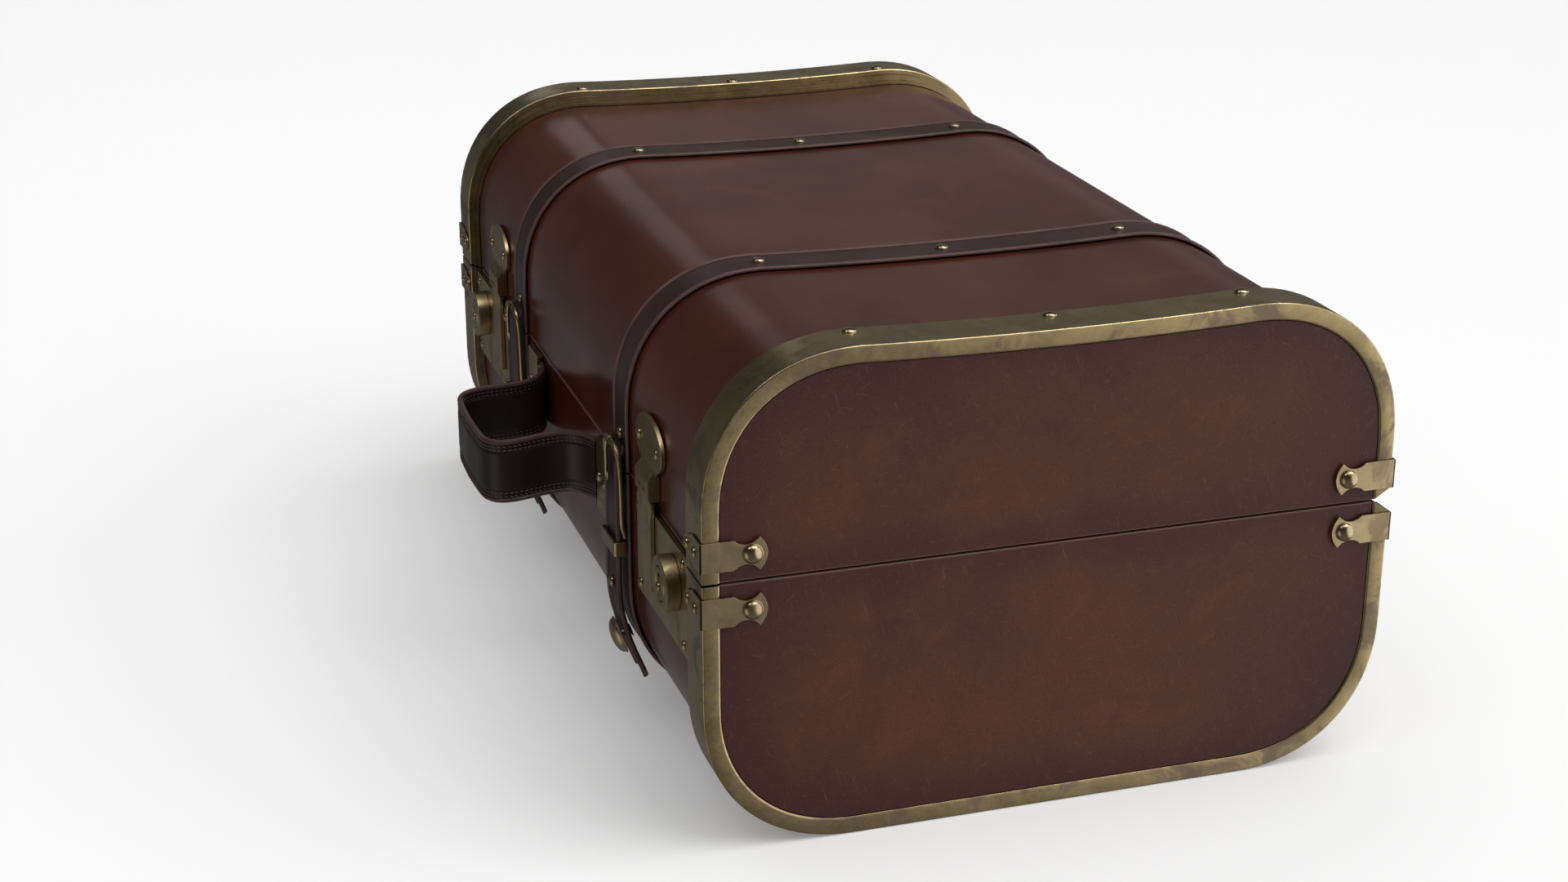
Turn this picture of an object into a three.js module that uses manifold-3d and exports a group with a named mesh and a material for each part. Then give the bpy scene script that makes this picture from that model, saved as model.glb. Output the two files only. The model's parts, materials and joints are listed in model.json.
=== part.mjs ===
// A leather suitcase-trunk with brass end frames: base, hinged lid, two straps, two hasp locks, loop handle.
// Millimetres. +X runs along the case, +Y from the handle side to the hinge side, +Z up from the floor.
import * as THREE from "three";
import { mergeVertices } from "three/addons/utils/BufferGeometryUtils.js";
import Module from "manifold-3d";

const wasm = await Module();
wasm.setup();

// ---- driving dimensions ----
const HALF_LENGTH = 358.7; // end plane of the brass frames
const HALF_WIDTH = 225.9; // outer face of the brass frames
const HEIGHT = 316.4;
const CORNER_R = 97.2;
const CORNER_POWER = 2.18; // corners are slightly squarer than a circle
const CORNER_STEPS = 7;
const TOP_DISH = 2.6; // the top sinks this much at mid-width
const DISH_STEPS = 4;
const SEAM_Z = 177.9;
const SEAM_GAP = 1.5;
const GAP = 0.3; // clearance between touching pieces

const LEATHER_SIDE = 7.2; // leather face inside the frame's outer face, front and back
const LEATHER_TOP = 10.9; // the same at top and bottom
const SHELL_WALL = 5;
const LINING_WALL = 2;
const SHELL_END = 9.3; // shell ends this far inside the end plane

const STRIP_WIDTH = 34; // the frame's outer strip
const TREAD = 5; // width of each of its two lower steps
const STEP_SIDE = [3, 5.6];
const STEP_TOP = [4.1, 8.2];
const FLANGE = 11; // frame seen on the end face
const FLANGE_THICK = 2.5;
const PANEL_RECESS = 1;
const PANEL_THICK = 8;
const NOTCH_DEPTH = 11; // V cut at the back, so that the lid can swing
const NOTCH_RISE = 8;

const HINGE_Y = 222.2;
const KNUCKLE_R = 3.2;
const PIN_R = 1.2;
const HINGE_WIDTH = 60;
const HINGE_LEAF = 1.6;
const HINGE_REACH = 30;
const HINGE_X = [-240, 0, 240];
const KNUCKLE_ENDS = { outer: 30, split: 10.3, inner: 10 };
const LEAF_RIVET = { x: 20, r: 3, rise: 1.4, side: 9, middle: 16 };

const STRAP_X = 152;
const STRAP_HALF = 17;
const STRAP_THICK = 3;
const RIVET_Y = 127; // side rivets on the top of straps and frames
const STRAP_RIVET = { z: 200.4, r: 4.2, rise: 2 };

const PLATE = { x0: 196, x1: 313.4, z0: 109.5, z1: 176.4, thick: 3.5 };
const BARREL = { x: 283.5, z: 149.5, r: 18, depth: 9, bore: 11.2, floor: 2 };
const PLUG = { r: 10.8, proud: 0.2, slot: 2.2, slotEnd: 8.6 };
const HASP_X = 226;
const HASP_AXIS = { y: -223.8, z: 188.8, r: 3.3 };
const HASP_BAR = { half: 14, thick: 2.7, z0: 123.4 };
const HEAD = { halfX: 31, z: 219, rise: 18, thick: 3.2, rivetX: 20.5 };
const NECK_HALF = 15.5;
const SLOT_HALF = 9;

const BUCKLE_AXIS = { y: -228, z: 195.8 };
const WIRE_R = 1.5;
const WIRE_SIDES = 6;
const BUCKLE_HALF = 18.6;
const BUCKLE_LOW = 133;
const TONGUE_HALF = 15.5;
const TONGUE_THICK = 3.8;
const KEEPER = { z0: 120, z1: 130.3, half: 17.6, wall: 1.5, y0: -231.6, y1: -222.4 };
const STUD = { r: 13, rise: 6.5, shank: 2.9, hole: 3.2, y: -220.2, z: 58, lean: 0.31 };
const TAIL_RIVET_Z = 96;

const HANDLE = { z0: 125.5, z1: 171, thick: 4.4, foot: 2.2, reach: -292.5 };
const DROOP = { from: -222, slope: 0.07 }; // the loop hangs lower the further out it reaches
const BRACKET = { x0: 87, x1: 121, z0: 124, z1: 175, proud: 4.5, pocket: 113.6, rivets: [10.5, 26.5] };

const RIVET_R = 4;
const RIVET_RISE = 2.2;
const SMALL_RIVET_R = 3.8;
const FRAME_RIVET = { inset: 27.4, r: 4.8 };
const CLIP_THICK = 1.2;
const CLIP_MID = 17.8; // clip centre above or below the seam
const CLIP_DOME = { inset: 30.8, r: 6.3, rise: 4.2, sides: 10 };
const CLIP_RIVETS = [10.5, 26]; // inset of its two side rivets from the end plane

// The case stands in the middle of its own bounding box: the handle reaches further out than the hinges.
const BACK_REACH = HALF_WIDTH + GAP + CLIP_THICK + RIVET_RISE;
const FRONT_REACH = -HANDLE.reach + HANDLE.thick / 2;
const SHIFT_Y = (FRONT_REACH - BACK_REACH) / 2;

// ---- colours ----
const LEATHER = { color: 0x5a2418, roughness: 0.4, metalness: 0 };
const STRAP_LEATHER = { color: 0x33201f, roughness: 0.5, metalness: 0 };
const BRASS = { color: 0x8f8257, roughness: 0.35, metalness: 1 };
const CLOTH = { color: 0x8a7356, roughness: 0.9, metalness: 0 };

// ---- solids ----
function solid(geometry) {
  const bare = geometry.clone();
  bare.deleteAttribute("normal");
  bare.deleteAttribute("uv");
  const merged = mergeVertices(bare, 1e-4);
  return new wasm.Manifold(new wasm.Mesh({
    numProp: 3,
    vertProperties: new Float32Array(merged.attributes.position.array),
    triVerts: new Uint32Array(merged.index.array),
  }));
}

function geometryOf(manifold) {
  const mesh = manifold.getMesh();
  const geometry = new THREE.BufferGeometry();
  geometry.setAttribute("position", new THREE.BufferAttribute(new Float32Array(mesh.vertProperties), 3));
  geometry.setIndex(new THREE.BufferAttribute(new Uint32Array(mesh.triVerts), 1));
  return geometry;
}

function union(...parts) {
  return parts.reduce((all, part) => all.add(part));
}

const cut = (body, ...tools) => tools.reduce((all, tool) => all.subtract(tool), body);

// Extrudes 2-D points along a world axis, from low to high.
const PLANES = {
  x: [new THREE.Vector3(0, 1, 0), new THREE.Vector3(0, 0, 1), new THREE.Vector3(1, 0, 0)],
  y: [new THREE.Vector3(0, 0, 1), new THREE.Vector3(1, 0, 0), new THREE.Vector3(0, 1, 0)],
  z: [new THREE.Vector3(1, 0, 0), new THREE.Vector3(0, 1, 0), new THREE.Vector3(0, 0, 1)],
};

function extruded(axis, points, low, high) {
  const flat = axis === "y" ? points.map(([x, z]) => [z, x]) : points;
  const shape = new THREE.Shape(flat.map(([a, b]) => new THREE.Vector2(a, b)));
  const geometry = new THREE.ExtrudeGeometry(shape, { depth: high - low, bevelEnabled: false, steps: 1 });
  geometry.translate(0, 0, low);
  return geometry.applyMatrix4(new THREE.Matrix4().makeBasis(...PLANES[axis]));
}

const prism = (...extrusion) => solid(extruded(...extrusion));

function box(x0, x1, y0, y1, z0, z1) {
  const geometry = new THREE.BoxGeometry(x1 - x0, y1 - y0, z1 - z0);
  geometry.translate((x0 + x1) / 2, (y0 + y1) / 2, (z0 + z1) / 2);
  return solid(geometry);
}

// A round bar along the x or y axis: at holds its two other coordinates.
function bar(axis, radius, at, low, high, steps = 12) {
  const geometry = new THREE.CylinderGeometry(radius, radius, high - low, steps);
  const mid = (low + high) / 2;
  if (axis === "x") return solid(geometry.rotateZ(-Math.PI / 2).translate(mid, at[0], at[1]));
  return solid(geometry.translate(at[0], mid, at[1]));
}

// A domed rivet head on the point at, standing along the direction out, sunk a little into its plate.
function dome(at, out, radius = RIVET_R, rise = RIVET_RISE, steps = 6, sink = 0.4) {
  const profile = [[0, -sink], [radius, -sink], [radius, 0], [radius * 0.78, rise * 0.62], [0, rise]];
  const geometry = new THREE.LatheGeometry(profile.map(([r, h]) => new THREE.Vector2(r, h)), steps);
  const turn = new THREE.Quaternion().setFromUnitVectors(
    new THREE.Vector3(0, 1, 0), new THREE.Vector3(...out).normalize());
  geometry.applyQuaternion(turn).translate(...at);
  return solid(geometry);
}

// ---- cross-sections across the case, as [y, z] points ----
const power = (value) => Math.sign(value) * Math.abs(value) ** (2 / CORNER_POWER);

function outline(side, top, bottom = top) {
  const half = HALF_WIDTH - side;
  const r = CORNER_R - (side + top) / 2;
  const high = HEIGHT - top;
  const points = [];
  const corner = (y, z, from) => {
    for (let i = 0; i <= CORNER_STEPS; i += 1) {
      const a = from + (i / CORNER_STEPS) * (Math.PI / 2);
      points.push([y + r * power(Math.cos(a)), z + r * power(Math.sin(a))]);
    }
  };
  corner(half - r, high - r, 0);
  for (let i = 1; i < DISH_STEPS; i += 1) {
    const t = 1 - (2 * i) / DISH_STEPS;
    points.push([t * (half - r), high - TOP_DISH * (1 - t * t)]);
  }
  corner(r - half, high - r, Math.PI / 2);
  corner(r - half, bottom + r, Math.PI);
  corner(half - r, bottom + r, 1.5 * Math.PI);
  return points;
}

const FRAME_OUTER = outline(0, 0);
const LEATHER_OUTER = outline(LEATHER_SIDE, LEATHER_TOP);
const shifted = (extra) => outline(LEATHER_SIDE + extra, LEATHER_TOP + extra);

const FAR = 600;
const below = (body, z) => body.intersect(box(-FAR, FAR, -FAR, FAR, -FAR, z));
const above = (body, z) => body.intersect(box(-FAR, FAR, -FAR, FAR, z, FAR));
const BASE_TOP = SEAM_Z - SEAM_GAP / 2;
const LID_BOTTOM = SEAM_Z + SEAM_GAP / 2;
const keepHalf = (body, lid) => (lid ? above(body, LID_BOTTOM) : below(body, BASE_TOP));

// ---- the case ----
function shell(lid) {
  const end = HALF_LENGTH - SHELL_END;
  const inside = prism("x", shifted(SHELL_WALL), -end - 1, end + 1);
  const tube = cut(prism("x", LEATHER_OUTER, -end, end), inside);
  return keepHalf(tube, lid);
}

function lining(lid) {
  const end = HALF_LENGTH - SHELL_END;
  const outer = prism("x", shifted(SHELL_WALL + GAP), -end, end);
  const inner = prism("x", shifted(SHELL_WALL + GAP + LINING_WALL), -end + LINING_WALL, end - LINING_WALL);
  return keepHalf(cut(outer, inner), lid);
}

function endPanel(lid) {
  const face = HALF_LENGTH - PANEL_RECESS;
  const inset = FLANGE + GAP;
  return keepHalf(prism("x", outline(inset, inset), face - PANEL_THICK, face), lid);
}

function notch() {
  const reach = 2;
  const rise = SEAM_GAP / 2 + ((NOTCH_RISE - SEAM_GAP / 2) * (NOTCH_DEPTH + reach)) / NOTCH_DEPTH;
  const y0 = HALF_WIDTH - NOTCH_DEPTH;
  const y1 = HALF_WIDTH + reach;
  const mouth = SEAM_GAP / 2;
  const points = [[y0, SEAM_Z - mouth], [y1, SEAM_Z - rise], [y1, SEAM_Z + rise], [y0, SEAM_Z + mouth]];
  return prism("x", points, 0, FAR);
}

function frame(lid) {
  const x = HALF_LENGTH;
  const strip = prism("x", FRAME_OUTER, x - STRIP_WIDTH, x);
  const steps = [0, 1].map((i) => {
    const start = x - STRIP_WIDTH - TREAD * (i + 1);
    return prism("x", outline(STEP_SIDE[i], STEP_TOP[i]), start, x - FLANGE_THICK);
  });
  const inside = prism("x", shifted(-GAP), 0, x - FLANGE_THICK);
  const opening = prism("x", outline(FLANGE, FLANGE), 0, x + 1);
  let body = keepHalf(cut(union(strip, ...steps), inside, opening, notch()), lid);
  if (lid)
    for (const y of [-RIVET_Y, 0, RIVET_Y]) {
      const z = HEIGHT - (y ? 0 : TOP_DISH);
      body = body.add(dome([x - FRAME_RIVET.inset, y, z - 0.1], [0, 0, 1], FRAME_RIVET.r));
    }
  return body;
}

// A sheet-brass corner clip: a tab on the end face and a leaf on the frame's side. side is -1 front, 1 back.
function clip(side, up) {
  const mid = SEAM_Z + up * CLIP_MID;
  const x0 = HALF_LENGTH + GAP;
  const y0 = HALF_WIDTH + GAP;
  const over = GAP + CLIP_THICK;
  const tab = [[-over, -9.5], [19.5, -9.5], [22, -7.2], [27, -6.5], [31.5, -7.5], [35.5, -10], [38.6, -5.5],
    [40, 0], [38.6, 5.5], [35.5, 10], [31.5, 7.5], [27, 6.5], [22, 7.2], [19.5, 9.5], [-over, 9.5]];
  const leaf = [[-over, -9.5], [17, -9.5], [22, -7], [26, -6.5], [32, -3], [33, 0], [32, 3], [26, 6.5],
    [22, 7], [17, 9.5], [-over, 9.5]];
  const onFace = prism("x", tab.map(([u, v]) => [side * (HALF_WIDTH - u), mid + v]), x0, x0 + CLIP_THICK);
  const [low, high] = side < 0 ? [-y0 - CLIP_THICK, -y0] : [y0, y0 + CLIP_THICK];
  const onSide = prism("y", leaf.map(([t, v]) => [HALF_LENGTH - t, mid + v]), low, high);
  const outY = side * (y0 + CLIP_THICK);
  const d = CLIP_DOME;
  const big = dome([x0 + CLIP_THICK, side * (HALF_WIDTH - d.inset), mid], [1, 0, 0], d.r, d.rise, d.sides);
  const small = CLIP_RIVETS.map((inset) =>
    dome([HALF_LENGTH - inset, outY, mid], [0, side, 0], SMALL_RIVET_R));
  return union(onFace, onSide, big, ...small);
}

function hingeKnuckles(spans, reach, lid) {
  const y0 = HALF_WIDTH - LEATHER_SIDE + GAP;
  const start = SEAM_Z + (lid ? 1 : -1) * (KNUCKLE_R + 0.4);
  const end = SEAM_Z + (lid ? 1 : -1) * reach;
  const [z0, z1] = lid ? [start, end] : [end, start];
  let body = box(-HINGE_WIDTH / 2, HINGE_WIDTH / 2, y0, y0 + HINGE_LEAF, z0, z1);
  for (const [x0, x1] of spans) {
    const [t0, t1] = lid ? [SEAM_Z + 0.8, z0 + 1] : [z1 - 1, SEAM_Z - 0.8];
    const web = box(x0, x1, y0, y0 + HINGE_LEAF, t0, t1);
    body = union(body, web, bar("x", KNUCKLE_R, [HINGE_Y, SEAM_Z], x0, x1));
  }
  const bore = bar("x", PIN_R + GAP, [HINGE_Y, SEAM_Z], -HINGE_WIDTH, HINGE_WIDTH, 8);
  body = cut(body, bore);
  for (const x of [-LEAF_RIVET.x, 0, LEAF_RIVET.x]) {
    const z = SEAM_Z + (lid ? 1 : -1) * (reach - (x ? LEAF_RIVET.side : LEAF_RIVET.middle));
    body = body.add(dome([x, y0 + HINGE_LEAF, z], [0, 1, 0], LEAF_RIVET.r, LEAF_RIVET.rise));
  }
  return body;
}

const { outer: END, split: SPLIT, inner: INNER } = KNUCKLE_ENDS;
const hingeBaseLeaf = () => hingeKnuckles([[-END, -SPLIT], [SPLIT, END]], HINGE_REACH, false);
const hingeLidLeaf = () => hingeKnuckles([[-INNER, INNER]], HINGE_REACH, true);
const hingePin = () => bar("x", PIN_R, [HINGE_Y, SEAM_Z], -HINGE_WIDTH / 2, HINGE_WIDTH / 2, 8);

// ---- straps ----
function strap(lid) {
  const outer = shifted(-GAP - STRAP_THICK);
  const band = cut(prism("x", outer, -STRAP_HALF, STRAP_HALF), prism("x", shifted(-GAP), -FAR, FAR));
  let body = keepHalf(band, lid);
  if (lid) {
    const top = HEIGHT - LEATHER_TOP + GAP + STRAP_THICK;
    for (const y of [-RIVET_Y, 0, RIVET_Y]) {
      const z = top - (y ? 0 : TOP_DISH) - 0.1;
      body = body.add(dome([0, y, z], [0, 0, 1], STRAP_RIVET.r, STRAP_RIVET.rise));
    }
    const front = -(HALF_WIDTH - LEATHER_SIDE + GAP + STRAP_THICK);
    body = body.add(dome([0, front, STRAP_RIVET.z], [0, -1, 0], STRAP_RIVET.r, STRAP_RIVET.rise));
  }
  return body;
}

// The strap's free tail: points down its inner face as [y, z, thickness].
const TAIL = [[-222.6, 195.8, 1.6], [-222.9, 191.5, 1.8], [-224.8, 187, 3], [-225.6, 181, 3.8],
  [-225.6, 117, 3.8], [-225.9, 97, 3.8], [-224.5, 80, 3.8], [-221.3, 66, 3.8], [-218.6, 56, 3.8],
  [-213, 41.5, 3.8], [-208.2, 29.5, 3.8]];
const TAIL_BACK = -225.9; // its inner face at the rivet

function tailProfile() {
  const inner = TAIL.map(([y, z]) => [y, z]);
  const outer = TAIL.map(([y, z, thick], i) => {
    const before = TAIL[Math.max(i - 1, 0)];
    const after = TAIL[Math.min(i + 1, TAIL.length - 1)];
    const along = [after[0] - before[0], after[1] - before[1]];
    const length = Math.hypot(...along);
    return [y + (along[1] / length) * thick, z - (along[0] / length) * thick];
  });
  return [...inner, ...outer.reverse()];
}

const STUD_OUT = new THREE.Vector3(0, -1, -STUD.lean).normalize();

// A round bar from the stud's seat on the tail, inwards for the length given.
function shankBar(radius, outward, inward) {
  const geometry = new THREE.CylinderGeometry(radius, radius, outward + inward, 10);
  geometry.translate(0, (outward - inward) / 2, 0);
  geometry.applyQuaternion(new THREE.Quaternion().setFromUnitVectors(new THREE.Vector3(0, 1, 0), STUD_OUT));
  return solid(geometry.translate(0, STUD.y, STUD.z));
}

function tongue() {
  const band = prism("x", tailProfile(), -TONGUE_HALF, TONGUE_HALF);
  return union(cut(band, shankBar(STUD.hole, 12, 8)),
    bar("y", 3.2, [0, TAIL_RIVET_Z], TAIL_BACK - 1, TAIL_BACK + 2.4, 8),
    dome([0, TAIL_BACK - TONGUE_THICK, TAIL_RIVET_Z], [0, -1, 0], SMALL_RIVET_R));
}

function stud() {
  const seat = new THREE.Vector3(0, STUD.y, STUD.z).addScaledVector(STUD_OUT, TONGUE_THICK + 0.5);
  const cap = dome(seat.toArray(), STUD_OUT.toArray(), STUD.r, STUD.rise, 14, 0);
  return union(cap, shankBar(STUD.shank, 4.6, 2));
}

function snapPost() {
  const geometry = new THREE.CylinderGeometry(3.4, 4.6, 1.2, 10);
  geometry.applyQuaternion(new THREE.Quaternion().setFromUnitVectors(new THREE.Vector3(0, 1, 0), STUD_OUT));
  const seat = new THREE.Vector3(0, STUD.y, STUD.z).addScaledVector(STUD_OUT, -3.1);
  return cut(solid(geometry.translate(...seat.toArray())),
    prism("x", shifted(-GAP - STRAP_THICK - 0.05), -FAR, FAR));
}

function keeper() {
  const k = KEEPER;
  return cut(box(-k.half, k.half, k.y0, k.y1, k.z0, k.z1),
    box(-k.half + k.wall, k.half - k.wall, k.y0 + k.wall, k.y1 - 1.2, k.z0 - 1, k.z1 + 1));
}

// The buckle: a closed wire loop, bent so that its lower bar lies behind the tail.
function buckleFrame() {
  const { y, z } = BUCKLE_AXIS;
  const path = [[-1, y, z], [5, y, z], [11, y, z - 0.8], [15.4, y + 0.3, z - 4],
    [BUCKLE_HALF, y + 0.9, z - 11], [BUCKLE_HALF, y + 1.6, 165],
    [BUCKLE_HALF, y + 1.8, 144], [BUCKLE_HALF, y + 3, 137.6],
    [16.4, -223.9, BUCKLE_LOW + 0.4], [12, -223.9, BUCKLE_LOW], [-1, -223.9, BUCKLE_LOW]];
  const side = (flip) => {
    const curve = new THREE.CatmullRomCurve3(path.map(([a, b, c]) => new THREE.Vector3(flip * a, b, c)));
    const circle = new THREE.Shape();
    for (let i = 0; i < WIRE_SIDES; i += 1) {
      const a = (i / WIRE_SIDES) * 2 * Math.PI;
      circle[i ? "lineTo" : "moveTo"](WIRE_R * Math.cos(a), WIRE_R * Math.sin(a));
    }
    return solid(new THREE.ExtrudeGeometry(circle, { steps: 14, extrudePath: curve }));
  };
  return union(side(1), side(-1));
}

const PRONG_BACK = TAIL[3][0] - TONGUE_THICK - 0.4; // just clear of the tail's face

function prong() {
  const { y, z } = BUCKLE_AXIS;
  const flat = PRONG_BACK;
  const ring = bar("x", 3.1, [y, z], -2, 2);
  const side = [[flat, z], [flat, 168], [flat - 0.3, 165.5], [flat - 2.4, 167], [flat - 1.6, z]];
  const shank = prism("x", side, -1.3, 1.3);
  return cut(union(ring, shank), bar("x", WIRE_R + 0.25, [y, z], -FAR, FAR));
}

// ---- hasp locks ----
function lockPlate() {
  const p = PLATE;
  const back = -(HALF_WIDTH - LEATHER_SIDE + GAP);
  let body = box(p.x0, p.x1, back - p.thick, back, p.z0, p.z1);
  for (const x of [p.x0 + 8, p.x1 - 8.4])
    for (const z of [p.z0 + 6.6, p.z1 - 6.4])
      body = body.add(dome([x, back - p.thick, z], [0, -1, 0], 3.6, 2));
  return body;
}

const PLATE_FACE = -(HALF_WIDTH - LEATHER_SIDE + GAP) - PLATE.thick;

function lockBarrel() {
  const back = PLATE_FACE - GAP;
  return cut(bar("y", BARREL.r, [BARREL.x, BARREL.z], back - BARREL.depth, back, 24),
    bar("y", BARREL.bore, [BARREL.x, BARREL.z], back - BARREL.depth - 1, back - BARREL.floor, 20));
}

function lockPlug() {
  const back = PLATE_FACE - GAP - BARREL.floor - GAP;
  const face = PLATE_FACE - GAP - BARREL.depth - PLUG.proud;
  const disc = bar("y", PLUG.r, [BARREL.x, BARREL.z], face, back, 20);
  const slot = box(BARREL.x - PLUG.slot / 2, BARREL.x + PLUG.slot / 2, face - 1, face + 4,
    BARREL.z + 1, BARREL.z + PLUG.slotEnd);
  return union(cut(disc, slot), dome([BARREL.x, face, BARREL.z - 1], [0, -1, 0], 3.4, 2));
}

// The lid's hasp bracket: a broad riveted head, and a thick neck that carries the pin.
function haspAnchor() {
  const back = -(HALF_WIDTH - LEATHER_SIDE + GAP);
  const h = HEAD;
  const head = [];
  for (let i = 0; i <= 12; i += 1) {
    const a = (i / 12) * Math.PI;
    head.push([HASP_X + h.halfX * Math.cos(a), h.z + h.rise * Math.sin(a)]);
  }
  const left = [[-30, 214], [-26, 209.5], [-19, 205], [-16.5, 202.5]];
  const right = left.map(([x, z]) => [-x, z]).reverse();
  head.push(...[...left, ...right].map(([x, z]) => [HASP_X + x, z]));
  const { y, z, r } = HASP_AXIS;
  const front = y - r;
  const profile = [[back, 206], [back - h.thick, 206], [front, 199.5], [front, z], [y, z], [y, z - r],
    [back, z - r]];
  const neck = union(prism("x", profile, HASP_X - NECK_HALF, HASP_X + NECK_HALF),
    bar("x", r, [y, z], HASP_X - NECK_HALF, HASP_X + NECK_HALF, 16));
  const slot = box(HASP_X - SLOT_HALF, HASP_X + SLOT_HALF, front - 1, back - 1.2, z - r - 1, z + r + 0.5);
  const pin = bar("x", PIN_R, [y, z], HASP_X - NECK_HALF - 0.8, HASP_X + NECK_HALF + 0.8, 8);
  return union(prism("y", head, back - h.thick, back), cut(neck, slot), pin,
    ...[-h.rivetX, h.rivetX].map((x) => dome([HASP_X + x, back - h.thick, h.z], [0, -1, 0], SMALL_RIVET_R)));
}

function haspArm() {
  const { y, z } = HASP_AXIS;
  const back = PLATE_FACE - GAP;
  const front = back - HASP_BAR.thick;
  const top = z - 3.8;
  const flat = [[-16, top], [-16, top - 6], [-14, top - 12], [-14, HASP_BAR.z0 + 1.5], [-12.5, HASP_BAR.z0]];
  const face = [...flat, ...flat.map(([a, b]) => [-a, b]).reverse()].map(([a, b]) => [HASP_X + a, b]);
  const root = box(HASP_X - SLOT_HALF + GAP, HASP_X + SLOT_HALF - GAP, front, back, top - 1, z);
  const knuckle = bar("x", 3, [y, z], HASP_X - SLOT_HALF + GAP, HASP_X + SLOT_HALF - GAP);
  return cut(union(prism("y", face, front, back), root, knuckle),
    bar("x", PIN_R + GAP, [y, z], -FAR, FAR, 8));
}

// ---- handle ----
// Half of the loop's centre line as [x, y, thickness], from the foot under its bracket to mid-grip.
const LOOP = [[113, -220.4, 2.2], [87, -220.4, 2.2], [79.5, -221.2, 2.8], [72, -223.4, 3.8],
  [65.5, -226.4, 4.4], [60, -230.6, 4.4], [56.5, -235.6, 4.4], [54.7, -242, 4.4], [54.5, -252, 4.4],
  [55.7, -262, 4.4], [56.6, -270, 4.4], [55.8, -278, 4.4], [52.6, -284.6, 4.4], [46, -289, 4.4],
  [38, -290.9, 4.4], [22, -291.9, 4.4], [0, HANDLE.reach, 4.4]];

function handle() {
  const line = [...LOOP, ...LOOP.slice(0, -1).map(([x, y, t]) => [-x, y, t]).reverse()];
  const side = (sign) => line.map(([x, y, thick], i) => {
    const before = line[Math.max(i - 1, 0)];
    const after = line[Math.min(i + 1, line.length - 1)];
    const along = [after[0] - before[0], after[1] - before[1]];
    const length = Math.hypot(...along);
    const push = (sign * thick) / 2 / length;
    return [x - along[1] * push, y + along[0] * push];
  });
  const loop = extruded("z", [...side(1), ...side(-1).reverse()], HANDLE.z0, HANDLE.z1);
  loop.applyMatrix4(new THREE.Matrix4().makeShear(0, 0, 0, DROOP.slope, 0, 0));
  return solid(loop.translate(0, 0, -DROOP.slope * DROOP.from));
}

function handleBracket() {
  const b = BRACKET;
  const back = -(HALF_WIDTH - LEATHER_SIDE + GAP);
  const front = -(HALF_WIDTH - LEATHER_SIDE) - b.proud;
  const mid = (b.z0 + b.z1) / 2;
  const edge = [[0, 25.5], [2, 22], [2, 19], [0, 16], [0.4, 12], [3, 8.5], [3, 5], [0, 2]];
  const inner = [...edge, ...edge.map(([x, z]) => [x, -z]).reverse()].map(([x, z]) => [b.x0 + x, mid + z]);
  const outer = [[b.x1 - 3, b.z0], [b.x1, b.z0 + 3], [b.x1, b.z1 - 3], [b.x1 - 3, b.z1]];
  const pocket = box(b.x0 - 5, b.pocket, back - HANDLE.foot - 0.5, FAR, HANDLE.z0 - 0.4, HANDLE.z1 + 0.4);
  return union(cut(prism("y", [...inner, ...outer], front, back), pocket),
    ...b.rivets.map((x) => dome([b.x0 + x, front, mid], [0, -1, 0], SMALL_RIVET_R)));
}

// ---- assembly ----
const group = new THREE.Group();

// mirror turns the piece left to right; x then moves it along the case.
function put(name, body, look, { mirror = false, x = 0 } = {}) {
  const geometry = geometryOf(body);
  if (mirror) {
    geometry.scale(-1, 1, 1);
    const index = geometry.index.array;
    for (let i = 0; i < index.length; i += 3) [index[i], index[i + 1]] = [index[i + 1], index[i]];
  }
  geometry.translate(x, SHIFT_Y, 0);
  const flat = geometry.toNonIndexed();
  flat.computeVertexNormals();
  const mesh = new THREE.Mesh(flat, new THREE.MeshStandardMaterial(look));
  mesh.name = name;
  group.add(mesh);
}

const SIDES = [["left", true, -1], ["right", false, 1]];

for (const [part, lid] of [["base", false], ["lid", true]]) {
  put(`${part}_shell`, shell(lid), LEATHER);
  put(`${part}_lining`, lining(lid), CLOTH);
  for (const [side, mirror, sign] of SIDES) {
    put(`${part}_end_panel_${side}`, endPanel(lid), LEATHER, { mirror });
    put(`${part}_frame_${side}`, frame(lid), BRASS, { mirror });
    put(`${part}_clip_${side}_front`, clip(-1, lid ? 1 : -1), BRASS, { mirror });
    put(`${part}_clip_${side}_back`, clip(1, lid ? 1 : -1), BRASS, { mirror });
    put(`${part}_strap_${side}`, strap(lid), STRAP_LEATHER, { x: sign * STRAP_X });
  }
}

HINGE_X.forEach((x, i) => {
  put(`hinge_base_leaf_${i + 1}`, hingeBaseLeaf(), BRASS, { x });
  put(`hinge_lid_leaf_${i + 1}`, hingeLidLeaf(), BRASS, { x });
  put(`hinge_pin_${i + 1}`, hingePin(), BRASS, { x });
});

put("handle", handle(), STRAP_LEATHER);

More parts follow.
